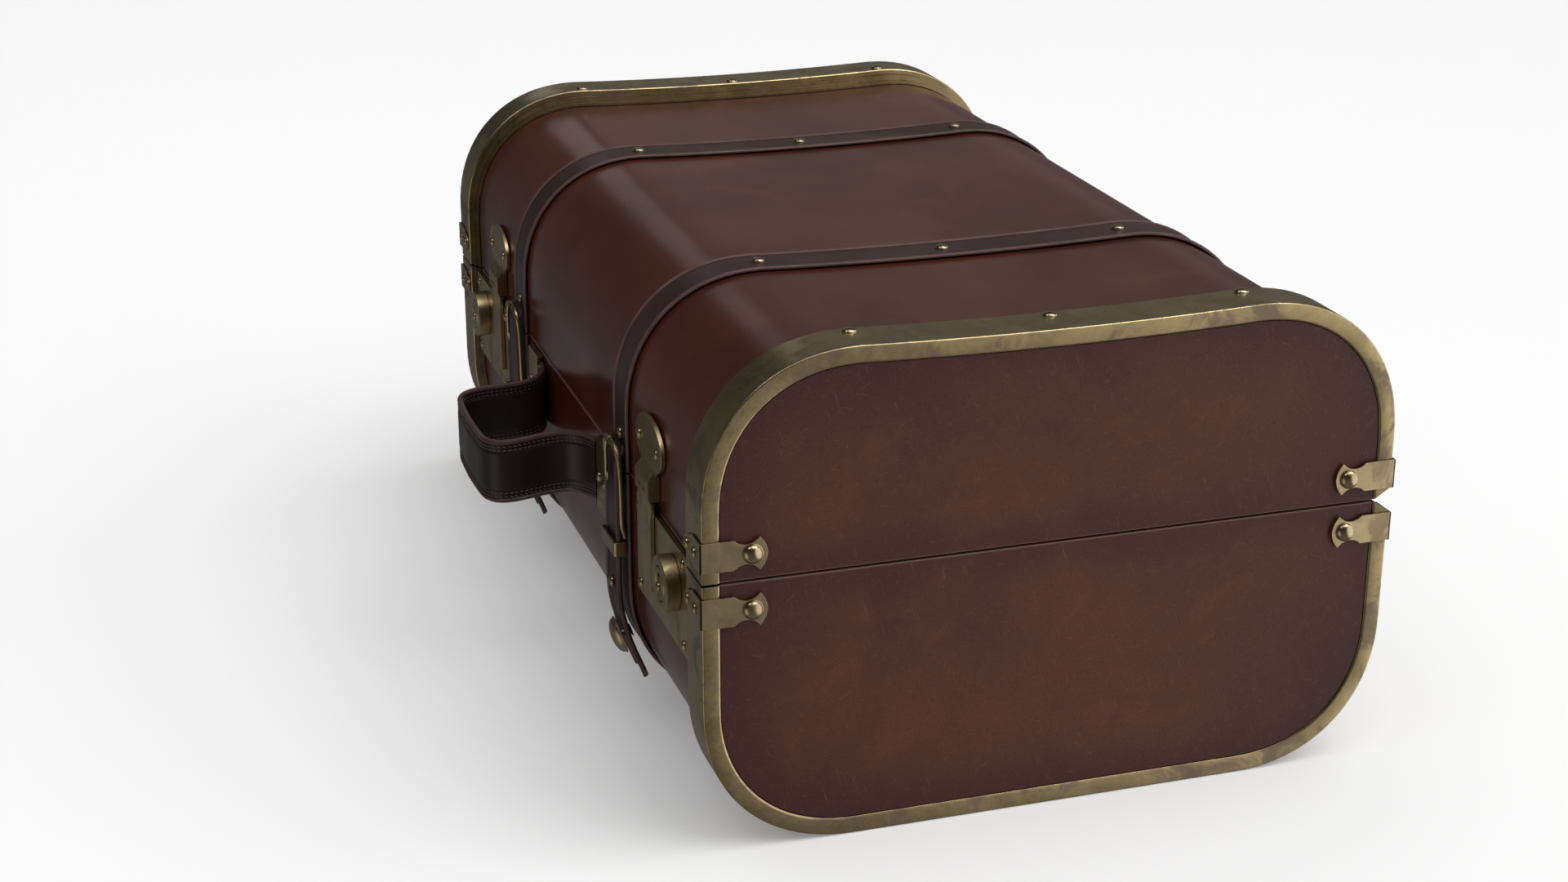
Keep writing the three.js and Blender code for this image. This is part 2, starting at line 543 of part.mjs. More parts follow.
for (const [side, mirror, sign] of SIDES) {
  put(`handle_bracket_${side}`, handleBracket(), BRASS, { mirror });
  put(`lock_plate_${side}`, lockPlate(), BRASS, { mirror });
  put(`lock_barrel_${side}`, lockBarrel(), BRASS, { mirror });
  put(`lock_plug_${side}`, lockPlug(), BRASS, { mirror });
  put(`hasp_anchor_${side}`, haspAnchor(), BRASS, { mirror });
  put(`hasp_arm_${side}`, haspArm(), BRASS, { mirror });
  const x = sign * STRAP_X;
  put(`buckle_frame_${side}`, buckleFrame(), BRASS, { x });
  put(`buckle_prong_${side}`, prong(), BRASS, { x });
  put(`strap_tongue_${side}`, tongue(), STRAP_LEATHER, { x });
  put(`strap_keeper_${side}`, keeper(), BRASS, { x });
  put(`strap_stud_${side}`, stud(), BRASS, { x });
  put(`snap_post_${side}`, snapPost(), BRASS, { x });
}

export default group;
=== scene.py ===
"""Looks for the leather suitcase trunk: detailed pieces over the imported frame, materials and studio."""

import json
import math

import bmesh
import bpy
from mathutils import Matrix, Vector


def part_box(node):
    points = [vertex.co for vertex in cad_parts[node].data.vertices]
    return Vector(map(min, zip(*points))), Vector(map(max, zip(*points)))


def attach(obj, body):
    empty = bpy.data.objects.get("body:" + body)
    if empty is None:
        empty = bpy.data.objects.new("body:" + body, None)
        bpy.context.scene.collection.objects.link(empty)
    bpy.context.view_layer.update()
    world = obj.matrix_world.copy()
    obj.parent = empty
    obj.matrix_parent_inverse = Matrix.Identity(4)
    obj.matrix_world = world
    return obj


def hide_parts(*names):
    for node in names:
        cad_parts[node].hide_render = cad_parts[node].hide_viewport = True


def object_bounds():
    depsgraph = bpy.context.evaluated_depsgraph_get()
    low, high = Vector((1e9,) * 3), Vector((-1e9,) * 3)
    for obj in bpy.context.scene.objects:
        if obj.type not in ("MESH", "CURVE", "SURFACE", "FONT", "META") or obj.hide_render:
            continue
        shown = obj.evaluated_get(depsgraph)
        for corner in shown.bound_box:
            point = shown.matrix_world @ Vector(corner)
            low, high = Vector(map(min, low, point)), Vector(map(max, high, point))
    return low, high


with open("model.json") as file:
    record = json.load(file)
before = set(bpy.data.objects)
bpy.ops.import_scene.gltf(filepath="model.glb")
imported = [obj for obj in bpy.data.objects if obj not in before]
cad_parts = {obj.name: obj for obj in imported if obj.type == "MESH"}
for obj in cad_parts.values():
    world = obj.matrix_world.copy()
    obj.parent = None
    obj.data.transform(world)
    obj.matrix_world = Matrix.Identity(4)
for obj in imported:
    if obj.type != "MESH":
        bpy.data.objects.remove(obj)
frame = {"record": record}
cad_lo, cad_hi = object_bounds()

# ---- sizes, in millimetres, in the case's own frame: y = 0 is mid-width ----
MM = 0.001


def box_mm(node):
    lo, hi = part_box(node)
    return lo / MM, hi / MM


FRAME_LO, FRAME_HI = box_mm("base_frame_right")
SHIFT_Y = (FRAME_LO.y + FRAME_HI.y) / 2
HALF_LENGTH = FRAME_HI.x
HALF_WIDTH = (FRAME_HI.y - FRAME_LO.y) / 2
LEATHER_SIDE = 7.2  # the leather lies this far inside the brass frames' outline at the front and back
LEATHER_TOP = 10.9  # and this far at the top and bottom
HEIGHT = box_mm("lid_shell")[1].z + LEATHER_TOP
BASE_TOP = box_mm("base_shell")[1].z
LID_BOTTOM = box_mm("lid_shell")[0].z
SEAM_Z = (BASE_TOP + LID_BOTTOM) / 2
SHELL_END = box_mm("base_shell")[1].x

CORNER_R = 97.2
CORNER_POWER = 2.18  # 2 would be a round corner; more is squarer
CORNER_STEPS = 22
DISH_STEPS = 14
TOP_DISH = 2.6  # the lid's top sinks this far at mid-width
GAP = 0.3  # clearance between neighbours
SHELL_WALL = 5
LINING_WALL = 2
FLANGE = 11  # width of the brass round the end panels
NOTCH_DEPTH = 11  # at the back seam the frames open in a V this deep
NOTCH_RISE = 8  # and this high on each side of the seam
EDGE_R = 1.1  # rounding of the brass frames' outer edge
RIVET_Y = 127
RIVET_OVER_STRAP = 2.75  # a strap's rivets sit this far above the leather
STRAP_HALF = 17
TAIL_HALF = 15.5
HINGE_Y = 222.2
HINGE_HALF = 30
LEATHER_Y = -(HALF_WIDTH - LEATHER_SIDE)  # the front leather face
BACK_PLATE = LEATHER_Y - GAP  # fittings start here
PLATE_FACE = BACK_PLATE - 3.5
STUD_LO, STUD_HI = box_mm("strap_stud_right")
STRAP_X = STUD_LO.lerp(STUD_HI, 0.5).x
HANDLE_LO, HANDLE_HI = 125.5, 171
DROOP_FROM, DROOP = -222, 0.07  # the handle sinks 0.07 mm for each mm it reaches out
FITTING_MID = 149.5  # middle height of the lock barrels and the handle's brackets
SHARP_DEGREES = 32  # edges with a steeper turn than this stay sharp

BODY_OF = {n: b for b, nodes in frame["record"]["behaviour"]["bodies"].items() for n in nodes}


# ---- mesh building ----
def smooth_line(points, per_span, closed=False):
    """A Catmull-Rom line through the points, all as vectors of the same size."""
    pts = [Vector(p) for p in points]
    count = len(pts)
    spans = count if closed else count - 1

    def pick(i):
        return pts[i % count] if closed else pts[min(max(i, 0), count - 1)]

    line = []
    for i in range(spans):
        a, b, c, d = pick(i - 1), pick(i), pick(i + 1), pick(i + 2)
        for k in range(per_span):
            t = k / per_span
            line.append(0.5 * (2 * b + (c - a) * t + (2 * a - 5 * b + 4 * c - d) * t * t
                               + (3 * b - a - 3 * c + d) * t ** 3))
    if not closed:
        line.append(pts[-1].copy())
    return line


def circle(a, b, radius, steps=24):
    """Points round a circle about (a, b)."""
    turns = [2 * math.pi * i / steps for i in range(steps)]
    return [(a + radius * math.cos(t), b + radius * math.sin(t)) for t in turns]


def mirrored(points):
    """The points in reverse order, on the other side of the first axis."""
    return [(-a, b) for a, b in reversed(points)]


class Shape:
    """Closed solids gathered for one piece."""

    def __init__(self):
        self.bm = bmesh.new()
        self.look = 0

    def use(self, look):
        """Solids added from here on are of the piece's own material (0) or of rivet brass (1)."""
        self.look = look
        return self

    def add(self, verts, faces, bevel=0.0, segments=2, angle=0.6):
        part = bmesh.new()
        made = [part.verts.new(v) for v in verts]
        for f in faces:
            part.faces.new([made[i] for i in f])
        bmesh.ops.recalc_face_normals(part, faces=part.faces)
        if bevel:
            sharp = [e for e in part.edges if len(e.link_faces) == 2 and e.calc_face_angle(0) > angle]
            bmesh.ops.bevel(part, geom=sharp, offset=bevel, segments=segments, profile=0.5,
                            affect="EDGES", clamp_overlap=True)
        for face in part.faces:
            face.material_index = self.look
        mesh = bpy.data.meshes.new("part")
        part.to_mesh(mesh)
        part.free()
        self.bm.from_mesh(mesh)
        bpy.data.meshes.remove(mesh)
        return self

    def loft(self, rings, closed=False, **bevel):
        """Joins rings of equal size, one after the other; an open row gets an end face at each end."""
        n = len(rings[0])
        verts = [v for ring in rings for v in ring]
        faces = []
        for j in range(len(rings) if closed else len(rings) - 1):
            a, b = j * n, ((j + 1) % len(rings)) * n
            faces += [(a + i, a + (i + 1) % n, b + (i + 1) % n, b + i) for i in range(n)]
        if not closed:
            faces += [tuple(range(n)), tuple(range(len(verts) - n, len(verts)))]
        return self.add(verts, faces, **bevel)

    def prism(self, axis, points, low, high, bevel, **more):
        """The outline carried along the axis from low to high."""
        place = {"x": lambda a, b, c: (c, a, b), "y": lambda a, b, c: (a, c, b)}[axis]
        return self.loft([[place(a, b, c) for a, b in points] for c in (low, high)], bevel=bevel, **more)

    def box(self, x0, x1, y0, y1, z0, z1, bevel):
        return self.prism("x", [(y0, z0), (y1, z0), (y1, z1), (y0, z1)], x0, x1, bevel)

    def lathe(self, profile, at, out, steps):
        """Turns (radius, height) points about the direction out; the profile starts and ends on the axis."""
        turn = Vector((0, 0, 1)).rotation_difference(Vector(out).normalized())
        at = Vector(at)
        inner = profile[1:-1]
        verts = [at + turn @ Vector((0, 0, h)) for h in (profile[0][1], profile[-1][1])]
        for r, h in inner:
            for i in range(steps):
                a = 2 * math.pi * i / steps
                verts.append(at + turn @ Vector((r * math.cos(a), r * math.sin(a), h)))
        last = 2 + (len(inner) - 1) * steps
        faces = [(0, 2 + (i + 1) % steps, 2 + i) for i in range(steps)]
        faces += [(1, last + i, last + (i + 1) % steps) for i in range(steps)]
        for j in range(len(inner) - 1):
            a, b = 2 + j * steps, 2 + (j + 1) * steps
            faces += [(a + i, a + (i + 1) % steps, b + (i + 1) % steps, b + i) for i in range(steps)]
        return self.add(verts, faces)

    def rivet(self, at, out, radius=3.8, rise=2.2, steps=20):
        """A domed head with a thin brim."""
        rings = 6
        profile = [(0, -0.4), (radius, -0.4), (radius, rise * 0.12)]
        for i in range(rings):
            a = math.pi / 2 * i / rings
            profile.append((radius * 0.94 * math.cos(a), rise * (0.16 + 0.84 * math.sin(a))))
        before = self.look
        self.use(1).lathe(profile + [(0, rise)], at, out, steps)
        return self.use(before)

    def tube(self, line, radius, sides=10, closed=False):
        """A round wire along the line; radius is a number or one number for each point."""
        radii = radius if isinstance(radius, list) else [radius] * len(line)
        count = len(line)
        rings = []
        normal = None
        for i, p in enumerate(line):
            ahead = line[(i + 1) % count] if closed or i < count - 1 else p
            behind = line[i - 1] if closed or i else p
            along = (ahead - behind).normalized()
            if normal is None:
                normal = along.orthogonal().normalized()
            normal = (normal - along * normal.dot(along)).normalized()
            other = along.cross(normal)
            rings.append([p + radii[i] * (normal * math.cos(a) + other * math.sin(a))
                          for a in (2 * math.pi * k / sides for k in range(sides))])
        return self.loft(rings, closed=closed)

    def piece(self, node, material, mirror=False, dx=0.0, name=None, replaces=True):
        """Makes the object, rides it on the node's body and lets it stand for the node."""
        scale = Matrix.Diagonal((-1 if mirror else 1, 1, 1, 1))
        self.bm.transform(Matrix.Scale(MM, 4) @ Matrix.Translation((dx, SHIFT_Y, 0)) @ scale)
        if mirror:
            bmesh.ops.reverse_faces(self.bm, faces=self.bm.faces)
        mesh = bpy.data.meshes.new(name or "detailed_" + node)
        self.bm.to_mesh(mesh)
        self.bm.free()
        mesh.shade_smooth()
        mesh.set_sharp_from_angle(angle=math.radians(SHARP_DEGREES))
        mesh.materials.append(material)
        if any(face.material_index for face in mesh.polygons):
            mesh.materials.append(RIVET_BRASS)
        obj = bpy.data.objects.new(mesh.name, mesh)
        bpy.context.scene.collection.objects.link(obj)
        flats = obj.modifiers.new("flat faces shade flat", "WEIGHTED_NORMAL")
        flats.weight = 80
        flats.keep_sharp = True
        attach(obj, BODY_OF[node])
        if replaces:
            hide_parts(node)
        return obj


def carve(obj, cutter_shape):
    """Cuts the solids of cutter_shape out of obj."""
    cutter_shape.bm.transform(Matrix.Scale(MM, 4) @ Matrix.Translation((0, SHIFT_Y, 0)))
    mesh = bpy.data.meshes.new("cutter")
    cutter_shape.bm.to_mesh(mesh)
    cutter_shape.bm.free()
    cutter = bpy.data.objects.new("cutter", mesh)
    bpy.context.scene.collection.objects.link(cutter)
    cut = obj.modifiers.new("cut", "BOOLEAN")
    cut.object = cutter
    cut.solver = "EXACT"
    bpy.context.view_layer.update()
    result = bpy.data.meshes.new_from_object(obj.evaluated_get(bpy.context.evaluated_depsgraph_get()))
    obj.modifiers.remove(cut)
    obj.data = result
    bpy.data.objects.remove(cutter)


# ---- outlines across the case ----
def half_outline(lid, side, top, notch=False):
    """[(y, z)] from the back seam over the top, or under the bottom, to the front seam."""
    half = HALF_WIDTH - side
    r = CORNER_R - (side + top) / 2
    sign = 1 if lid else -1
    level = HEIGHT - top if lid else top
    centre = level - sign * r
    seam = LID_BOTTOM if lid else BASE_TOP
    back_seam = seam
    if notch:
        past = half - (HALF_WIDTH - NOTCH_DEPTH)
        slit = abs(seam - SEAM_Z)
        back_seam = SEAM_Z + sign * (slit + max(0.0, past) * (NOTCH_RISE - slit) / NOTCH_DEPTH)
    power = 2 / CORNER_POWER
    arc = []
    for i in range(CORNER_STEPS + 1):
        a = math.pi / 2 * i / CORNER_STEPS
        arc.append((r * math.cos(a) ** power, sign * r * math.sin(a) ** power))
    points = [(half, back_seam)]
    points += [(half - r + y, centre + z) for y, z in arc]
    for i in range(1, DISH_STEPS):
        t = 1 - 2 * i / DISH_STEPS
        dish = TOP_DISH * (1 - t * t) if lid else 0
        points.append((t * (half - r), level - dish))
    points += [(r - half - y, centre + z) for y, z in reversed(arc)]
    points.append((-half, seam))
    return points


def across(lid, profile, notch=False):
    """Rings for Shape.loft: profile points (x, side, top) carried round the half outline."""
    lines = [half_outline(lid, side, top, notch) for _, side, top in profile]
    return [[(x, *line[i]) for (x, _, _), line in zip(profile, lines)] for i in range(len(lines[0]))]


# ---- materials ----
class Nodes:
    """A small helper for one procedural material."""

    def __init__(self, name):
        self.material = bpy.data.materials.new(name)
        self.material.use_nodes = True
        self.tree = self.material.node_tree
        self.shader = self.tree.nodes["Principled BSDF"]
        self.place = self.make("ShaderNodeTexCoord").outputs["Object"]

    def make(self, kind, **settings):
        node = self.tree.nodes.new(kind)
        for key, value in settings.items():
            setattr(node, key, value)
        return node

    def feed(self, node, **inputs):
        for key, value in inputs.items():
            socket = node.inputs[key.replace("_", " ")]
            if isinstance(value, bpy.types.NodeSocket):
                self.tree.links.new(value, socket)
            else:
                socket.default_value = value
        return node

    def noise(self, scale, detail, rough=0.55, stretch=None, distort=0.0, turn=None):
        where = self.place
        if turn:
            where = self.feed(self.make("ShaderNodeMapping"), Vector=where, Rotation=turn).outputs[0]
        if stretch:
            where = self.feed(self.make("ShaderNodeMapping"), Vector=where, Scale=stretch).outputs[0]
        node = self.make("ShaderNodeTexNoise")
        self.feed(node, Vector=where, Scale=scale, Detail=detail, Roughness=rough, Distortion=distort)
        return node.outputs["Fac"]

    def ramp(self, value, low, high, out_low=0.0, out_high=1.0):
        node = self.make("ShaderNodeMapRange", interpolation_type="SMOOTHSTEP")
        self.feed(node, Value=value, From_Min=low, From_Max=high, To_Min=out_low, To_Max=out_high)
        return node.outputs[0]

    def mix(self, amount, a, b):
        node = self.make("ShaderNodeMix", data_type="RGBA")
        for socket, value in ((node.inputs[0], amount), (node.inputs[6], a), (node.inputs[7], b)):
            if isinstance(value, bpy.types.NodeSocket):
                self.tree.links.new(value, socket)
            else:
                socket.default_value = value
        return node.outputs[2]

    def math(self, operation, a, b=0.0):
        node = self.make("ShaderNodeMath", operation=operation)
        for socket, value in zip(node.inputs, (a, b)):
            if isinstance(value, bpy.types.NodeSocket):
                self.tree.links.new(value, socket)
            else:
                socket.default_value = value
        return node.outputs[0]

    def axis(self, letter):
        split = self.make("ShaderNodeSeparateXYZ")
        self.tree.links.new(self.place, split.inputs[0])
        return split.outputs[letter]

    def bump(self, height, strength, distance, before=None):
        node = self.feed(self.make("ShaderNodeBump"), Height=height, Strength=strength, Distance=distance)
        if before:
            self.tree.links.new(before, node.inputs["Normal"])
        return node.outputs[0]


def rgb(r, g, b):
    return (r, g, b, 1.0)


def grain(n, size, depth):
    """The bump of leather: fine cells broken up by noise, over shallow swells."""
    cells = n.feed(n.make("ShaderNodeTexVoronoi", feature="DISTANCE_TO_EDGE"), Vector=n.place, Scale=size)
    creases = n.ramp(cells.outputs[0], 0.0, 0.35)
    soft = n.noise(size * 0.55, 6, 0.65)
    height = n.math("ADD", n.math("MULTIPLY", creases, 0.6), soft)
    first = n.bump(height, 0.35, depth)
    return n.bump(n.noise(14, 3), 0.25, depth * 8, first)


def case_leather(name, dark, mid, warm, rough, panel=False):
    """Burnished hide: soft mottling, fine pores, faint scratches and a painted highlight on the rounded lips
    along the seam.

    The end panels also get painted shade toward the brass and the seam.
    """
    n = Nodes(name)
    cloud = n.noise(9, 6, 0.6, distort=0.4)
    colour = n.mix(n.ramp(cloud, 0.32, 0.68), rgb(*dark), rgb(*mid))
    patch = n.ramp(n.noise(17, 5, 0.62, distort=0.5), 0.50, 0.72)
    colour = n.mix(n.math("MULTIPLY", patch, 0.34), colour, rgb(*warm))
    # a darker, bluer tone, used for the pores and for the end panels' painted shade
    edge = rgb(*[c * k for c, k in zip(dark, (0.70, 0.78, 0.95))])
    seam = n.math("ABSOLUTE", n.math("ADD", n.axis("Z"), -SEAM_Z * MM))
    # painted shade: the end panels darken toward the brass frame and on either side of the seam
    if panel:
        across_case = n.math("DIVIDE", n.math("ADD", n.axis("Y"), -SHIFT_Y * MM), HALF_WIDTH * MM)
        up = n.math("DIVIDE", n.math("ADD", n.axis("Z"), -HEIGHT * MM / 2), HEIGHT * MM / 2)
        reach = n.math("ADD", n.math("POWER", n.math("ABSOLUTE", across_case), 4.0),
                       n.math("POWER", n.math("ABSOLUTE", up), 4.0))
        colour = n.mix(n.ramp(reach, 0.10, 0.95, 0.0, 0.95), colour, edge)
        colour = n.mix(n.ramp(seam, 0.032, 0.002, 0.0, 0.6), colour, edge)
    fleck = n.ramp(n.noise(150, 4, 0.7), 0.55, 0.80)
    colour = n.mix(n.math("MULTIPLY", fleck, 0.42), colour, rgb(*warm))
    pores = n.ramp(n.noise(330, 3, 0.6), 0.44, 0.32, 0.0, 0.35)
    colour = n.mix(pores, colour, edge)
    scratch = rgb(*[c * 1.7 for c in warm])
    for slope in (0.35, -0.55, 1.30):
        line = n.noise(12, 2, 0.5, stretch=(4.0, 11.0, 105.0), distort=0.6, turn=(slope, 0.3, slope))
        colour = n.mix(n.ramp(line, 0.66, 0.75, 0.0, 0.26 if panel else 0.14), colour, scratch)
    # painted highlight: a pale line on the leather's rounded lips on either side of the seam
    seam_lip_highlight = n.ramp(seam, 0.0018, 0.0012, 0.0, 0.7)
    colour = n.mix(seam_lip_highlight, colour, rgb(0.150, 0.085, 0.070))
    n.feed(n.shader, Base_Color=colour, Roughness=n.ramp(cloud, 0.3, 0.7, rough + 0.05, rough - 0.03))
    n.feed(n.shader, Specular_IOR_Level=0.26)
    n.feed(n.shader, Normal=grain(n, 560, 0.00011 if panel else 0.00003))
    return n.material


def strap_leather(name, body, edge, offset, half, rim, rough):
    """Dark waxed leather, paler for rim mm along both edges; offset gives metres off its centre line."""
    n = Nodes(name)
    cloud = n.noise(16, 5, 0.6)
    dark = rgb(*[c * 0.62 for c in body])
    colour = n.mix(n.ramp(cloud, 0.3, 0.7), dark, rgb(*body))
    inset = n.math("SUBTRACT", half * MM, n.math("ABSOLUTE", offset(n)))
    pale = n.ramp(inset, (rim + 0.5) * MM, (rim - 0.4) * MM)
    worn = n.math("MULTIPLY", pale, n.ramp(n.noise(60, 4, 0.6), 0.25, 0.6, 0.55, 1.0))
    colour = n.mix(worn, colour, rgb(*edge))
    n.feed(n.shader, Base_Color=colour, Roughness=n.ramp(cloud, 0.3, 0.7, rough + 0.07, rough - 0.05))
    n.feed(n.shader, Specular_IOR_Level=0.3)
    n.feed(n.shader, Normal=grain(n, 900, 0.00007))
    return n.material


def strap_offset(n):
    return n.math("SUBTRACT", n.math("ABSOLUTE", n.axis("X")), STRAP_X * MM)


def handle_offset(n):
    """Height off the middle of the handle's band, which droops as it reaches out."""
    fall = n.math("MULTIPLY", n.math("SUBTRACT", n.axis("Y"), (DROOP_FROM + SHIFT_Y) * MM), -DROOP)
    return n.math("ADD", n.math("SUBTRACT", n.axis("Z"), (HANDLE_LO + HANDLE_HI) / 2 * MM), fall)


def brass(name, light, shade, tarnish, amount, rough, brushed=(1.0, 1.0, 1.0)):
    """Aged brass: olive metal with brown-violet tarnish clouds, fine brushing and duller patches."""
    n = Nodes(name)
    cloud = n.noise(30, 6, 0.65, distort=0.6)
    colour = n.mix(n.ramp(cloud, 0.3, 0.7), rgb(*shade), rgb(*light))
    stain = n.ramp(n.noise(26, 6, 0.68, distort=0.8), 0.48, 0.62)
    colour = n.mix(n.math("MULTIPLY", stain, amount), colour, rgb(*tarnish))
    fine = n.noise(420, 3, 0.6, stretch=brushed)
    dull = n.math("ADD", n.ramp(stain, 0.0, 1.0, rough, rough + 0.14), n.ramp(fine, 0.3, 0.7, -0.03, 0.04))
    n.feed(n.shader, Base_Color=colour, Roughness=dull, Metallic=1.0)
    n.feed(n.shader, Normal=n.bump(fine, 0.18, 0.00004, n.bump(cloud, 0.15, 0.00012)))
    return n.material


def cloth(name, light, dark):
    """Plain woven lining with visible threads and a soft nap."""
    n = Nodes(name)
    waves = []
    for direction in ("X", "Y"):
        wave = n.feed(n.make("ShaderNodeTexWave", bands_direction=direction), Vector=n.place, Scale=260.0)
        n.feed(wave, Distortion=0.6, Detail=2.0)
        waves.append(wave.outputs["Fac"])
    weave = n.math("MULTIPLY", *waves)
    colour = n.mix(n.ramp(n.noise(8, 5), 0.3, 0.7), rgb(*dark), rgb(*light))
    colour = n.mix(n.math("MULTIPLY", weave, 0.25), colour, rgb(*dark))
    n.feed(n.shader, Base_Color=colour, Roughness=0.9, Sheen_Weight=0.25)
    n.feed(n.shader, Normal=n.bump(weave, 0.4, 0.0002))
    return n.material


def plain_thread(name, colour):
    n = Nodes(name)
    twist = n.noise(1400, 2, 0.5)
    dark = rgb(*[c * 0.5 for c in colour])
    n.feed(n.shader, Base_Color=n.mix(twist, dark, rgb(*colour)), Roughness=0.75)
    n.feed(n.shader, Normal=n.bump(twist, 0.4, 0.0001))
    return n.material


CASE = case_leather("case_leather", dark=(0.042, 0.0110, 0.0075), mid=(0.060, 0.0150, 0.0090),
                    warm=(0.092, 0.0245, 0.0115), rough=0.20)
PANEL = case_leather("end_leather", dark=(0.060, 0.0185, 0.0140), mid=(0.086, 0.0265, 0.0165),
                     warm=(0.132, 0.0440, 0.0195), rough=0.42, panel=True)
STRAP = strap_leather("strap_leather", body=(0.035, 0.0160, 0.0140), edge=(0.105, 0.056, 0.046),
                      offset=strap_offset, half=STRAP_HALF, rim=3.4, rough=0.38)
TAIL_HIDE = strap_leather("tail_leather", body=(0.027, 0.0120, 0.0100), edge=(0.074, 0.038, 0.031),
                          offset=strap_offset, half=TAIL_HALF, rim=3.0, rough=0.42)
HANDLE_HIDE = strap_leather("handle_leather", body=(0.020, 0.0085, 0.0065), edge=(0.062, 0.034, 0.029),
                            offset=handle_offset, half=(HANDLE_HI - HANDLE_LO) / 2, rim=2.9, rough=0.33)
FRAME_BRASS = brass("frame_brass", light=(0.450, 0.352, 0.180), shade=(0.310, 0.240, 0.125),
                    tarnish=(0.165, 0.124, 0.108), amount=0.6, rough=0.3)
FITTING_BRASS = brass("fitting_brass", light=(0.480, 0.380, 0.212), shade=(0.355, 0.280, 0.156),
                      tarnish=(0.230, 0.178, 0.125), amount=0.4, rough=0.33, brushed=(1.0, 1.0, 6.0))
RIVET_BRASS = brass("rivet_brass", light=(0.460, 0.375, 0.225), shade=(0.350, 0.280, 0.165),
                    tarnish=(0.230, 0.178, 0.115), amount=0.3, rough=0.22)
THREAD = plain_thread("thread", (0.090, 0.060, 0.049))
LINING = cloth("lining_cloth", light=(0.250, 0.182, 0.112), dark=(0.190, 0.136, 0.082))


# ---- the case ----
def shell(lid):
    e = SHELL_END
    inner = (LEATHER_SIDE + SHELL_WALL, LEATHER_TOP + SHELL_WALL)
    profile = [(-e, LEATHER_SIDE, LEATHER_TOP), (e, LEATHER_SIDE, LEATHER_TOP), (e, *inner), (-e, *inner)]
    return Shape().loft(across(lid, profile), bevel=1.1, segments=3, angle=1.2)


def lining(lid):
    """A closed-ended liner: an outer and an inner skin, joined along their rims."""
    extra = SHELL_WALL + GAP
    outer = half_outline(lid, LEATHER_SIDE + extra, LEATHER_TOP + extra)
    inner = half_outline(lid, LEATHER_SIDE + extra + LINING_WALL, LEATHER_TOP + extra + LINING_WALL)
    e, n = SHELL_END, len(outer)
    rings = [(outer, -e), (outer, e), (inner, LINING_WALL - e), (inner, e - LINING_WALL)]
    verts = [(x, *p) for line, x in rings for p in line]
    faces = []
    for a, b in ((0, n), (2 * n, 3 * n)):
        faces += [(a + i, a + i + 1, b + i + 1, b + i) for i in range(n - 1)]
    faces += [tuple(range(k * n, (k + 1) * n)) for k in range(4)]
    faces += [(0, n, 3 * n, 2 * n), (n - 1, 2 * n - 1, 4 * n - 1, 3 * n - 1),
              (0, n - 1, 3 * n - 1, 2 * n), (n, 2 * n - 1, 4 * n - 1, 3 * n)]
    return Shape().add(verts, faces)


def end_panel(lid):
    inset = FLANGE + GAP
    face, thick = HALF_LENGTH - 1, 8
    return Shape().prism("x", half_outline(lid, inset, inset), face - thick, face, 0.6, segments=3)


def brass_frame(lid):
    """An angle of brass with a rounded outer edge and two lower steps, each grooved at its foot."""
    x = HALF_LENGTH
    leather = (LEATHER_SIDE - GAP, LEATHER_TOP - GAP)
    edge = []
    for degrees in (0, 30, 60, 90):
        a = math.radians(degrees)
        inset = EDGE_R * (1 - math.cos(a))
        edge.append((EDGE_R * (1 - math.sin(a)), inset, inset))
    profile = [(x - t, side, top) for t, side, top in edge]
    profile += [(x, FLANGE - 1.3, FLANGE - 1.3), (x - 0.8, FLANGE, FLANGE), (x - 2.5, FLANGE, FLANGE)]
    profile += [(x - 2.5, *leather), (x - 44, *leather)]
    steps = ((44, 39, 5.6, 8.2), (39, 34, 3.0, 4.1))  # from, to, and how far each lies inside the outline
    for inner, outer, side, top in steps:
        foot = outer + 0.8
        profile += [(x - inner, side, top), (x - foot, side, top), (x - foot, side + 0.8, top + 0.9),
                    (x - outer, side + 0.8, top + 0.9)]
    profile += [(x - 34, 0.7, 0.7), (x - 33.3, 0, 0)]
    shape = Shape().loft(across(lid, profile, notch=True), bevel=0.22, segments=2, angle=0.7)
    if lid:
        for y in (-RIVET_Y, 0, RIVET_Y):
            shape.rivet((x - 27.4, y, HEIGHT - (0 if y else TOP_DISH) - 0.1), (0, 0, 1), 4.8)
    return shape


def clip(side, up):
    """A corner clip: a tab with scooped sides on the end face, and a leaf on the frame's side."""
    mid = SEAM_Z + up * 17.8
    x0, y0, thick = HALF_LENGTH + GAP, HALF_WIDTH + GAP, 1.2
    over, root = GAP + thick, 9.5
    scoop = smooth_line([(19.5, 9.5), (22.2, 7.4), (26.8, 6.3), (31.4, 7.4), (35.4, 10.6)], 4)
    tip = smooth_line([(35.4, 10.6), (38.6, 5.8), (40, 0), (38.6, -5.8), (35.4, -10.6)], 4)
    tab = [(-over, -root)] + [(u, -v) for u, v in scoop][:-1] + [(u, -v) for u, v in tip]
    tab += [tuple(p) for p in reversed(scoop[:-1])] + [(-over, root)]
    nose = smooth_line([(17, root), (21.6, 7.2), (26, 6.6), (31, 3.8), (33, 0)], 4)
    leaf = [(-over, -root)] + [(t, -v) for t, v in nose]
    leaf += [tuple(p) for p in reversed(nose[:-1])] + [(-over, root)]
    shape = Shape().prism("x", [(side * (HALF_WIDTH - u), mid + v) for u, v in tab], x0, x0 + thick, 0.25)
    low, high = sorted((side * y0, side * (y0 + thick)))
    shape.prism("y", [(HALF_LENGTH - t, mid + v) for t, v in leaf], low, high, 0.25)
    shape.rivet((x0 + thick, side * (HALF_WIDTH - 30.8), mid), (1, 0, 0), 6.3, 4.2, 28)
    for inset in (10.5, 26):
        shape.rivet((HALF_LENGTH - inset, side * (y0 + thick), mid), (0, side, 0))
    return shape


